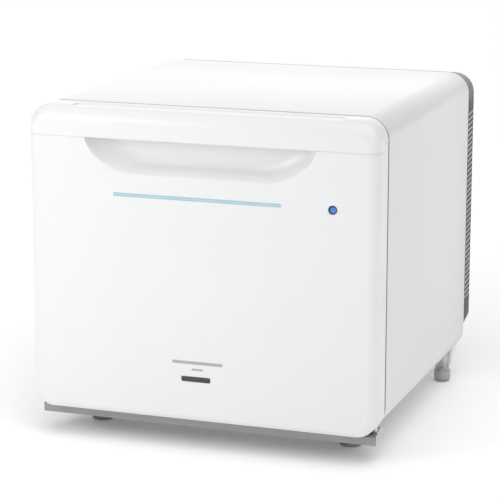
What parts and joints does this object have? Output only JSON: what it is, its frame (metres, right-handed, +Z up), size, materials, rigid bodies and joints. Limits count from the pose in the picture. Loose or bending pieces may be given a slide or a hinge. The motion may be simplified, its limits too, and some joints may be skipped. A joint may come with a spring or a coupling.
{
  "type": "mini fridge",
  "caption": "Compact countertop fridge: foamed cabinet, right-hinged door with a finger scoop, blue stripe and lamp, louvred rear cooling cover, shelf and trays.",
  "frame": {"origin": "on the floor, under the centre of the bounding box", "axes": "+Z up, the door faces -Y, +X is the viewer's right when facing the door"},
  "size_m": [0.4, 0.425, 0.375],
  "materials": {
    "shell_white": "gloss",
    "liner_white": "satin",
    "foam": "matte",
    "slate": "matte",
    "bar_grey": "satin",
    "foot_rubber": "matte",
    "seal_grey": "matte",
    "steel": "satin",
    "hinge_white": "gloss",
    "fin_aluminium": "satin",
    "plate_ceramic": "matte",
    "fan_black": "satin",
    "board_green": "satin",
    "tray_clear": "gloss",
    "stripe_blue": "satin",
    "lens_blue": "gloss",
    "print_grey": "matte",
    "print_dark": "matte",
    "nylon": "satin"
  },
  "bodies": {
    "cabinet": {"cabinet_shell": "shell_white", "inner_liner": "liner_white", "cabinet_foam": "foam", "rear_panel": "liner_white", "rear_cover": "slate", "base_bar": "bar_grey", "bar_screw_left": "steel", "bar_screw_right": "steel", "front_foot_left": "foot_rubber", "front_foot_right": "foot_rubber", "rear_leg_left": "shell_white", "rear_leg_right": "shell_white", "rear_pad_left": "foot_rubber", "rear_pad_right": "foot_rubber", "lower_hinge_pin": "steel", "upper_hinge_bracket": "hinge_white", "upper_hinge_pin": "steel", "hinge_screw_upper": "steel", "hinge_screw_lower": "steel", "cold_sink": "fin_aluminium", "cold_block": "fin_aluminium", "peltier_module": "plate_ceramic", "hot_sink": "fin_aluminium", "hot_fan_frame": "fan_black", "cold_fan_frame": "fan_black", "evaporator_cover": "liner_white", "power_board": "board_green", "power_inlet": "fan_black", "shelf_rail_left": "liner_white", "shelf_rail_right": "liner_white"},
    "door": {"door_outer": "shell_white", "door_top_cap": "shell_white", "door_foam": "foam", "door_liner": "liner_white", "door_gasket": "seal_grey", "door_pocket_lower": "tray_clear", "door_pocket_upper": "tray_clear", "stripe_inlay": "stripe_blue", "lamp_bezel": "shell_white", "lamp_lens": "lens_blue", "lamp_board": "board_green", "print_line_upper": "print_grey", "print_line_small": "print_grey", "print_badge": "print_dark", "hinge_bushing_upper": "nylon", "hinge_bushing_lower": "nylon"},
    "shelf": {"shelf": "tray_clear"},
    "drip_tray": {"drip_tray": "tray_clear"},
    "dial": {"temperature_dial": "bar_grey"},
    "hot_rotor": {"hot_fan_rotor": "fan_black"},
    "cold_rotor": {"cold_fan_rotor": "fan_black"}
  },
  "joints": [
    {"name": "door_swing", "type": "hinge", "parent": "cabinet", "child": "door", "pos_m": [0.192, -0.1835, 0.2], "axis": [0, 0, 1], "range_deg": [0, 110]},
    {"name": "shelf_slide", "type": "slide", "parent": "cabinet", "child": "shelf", "axis": [0, -1, 0], "range_m": [0, 0.03]},
    {"name": "tray_slide", "type": "slide", "parent": "cabinet", "child": "drip_tray", "axis": [0, -1, 0], "range_m": [0, 0.05]},
    {"name": "dial_turn", "type": "hinge", "parent": "cabinet", "child": "dial", "pos_m": [0.045, 0.0912, 0.171], "axis": [0, -1, 0], "range_deg": [-135, 135]},
    {"name": "hot_fan_spin", "type": "hinge", "parent": "cabinet", "child": "hot_rotor", "pos_m": [0, 0.1941, 0.222], "axis": [0, 1, 0], "continuous": true},
    {"name": "cold_fan_spin", "type": "hinge", "parent": "cabinet", "child": "cold_rotor", "pos_m": [0, 0.1006, 0.222], "axis": [0, 1, 0], "continuous": true}
  ]
}
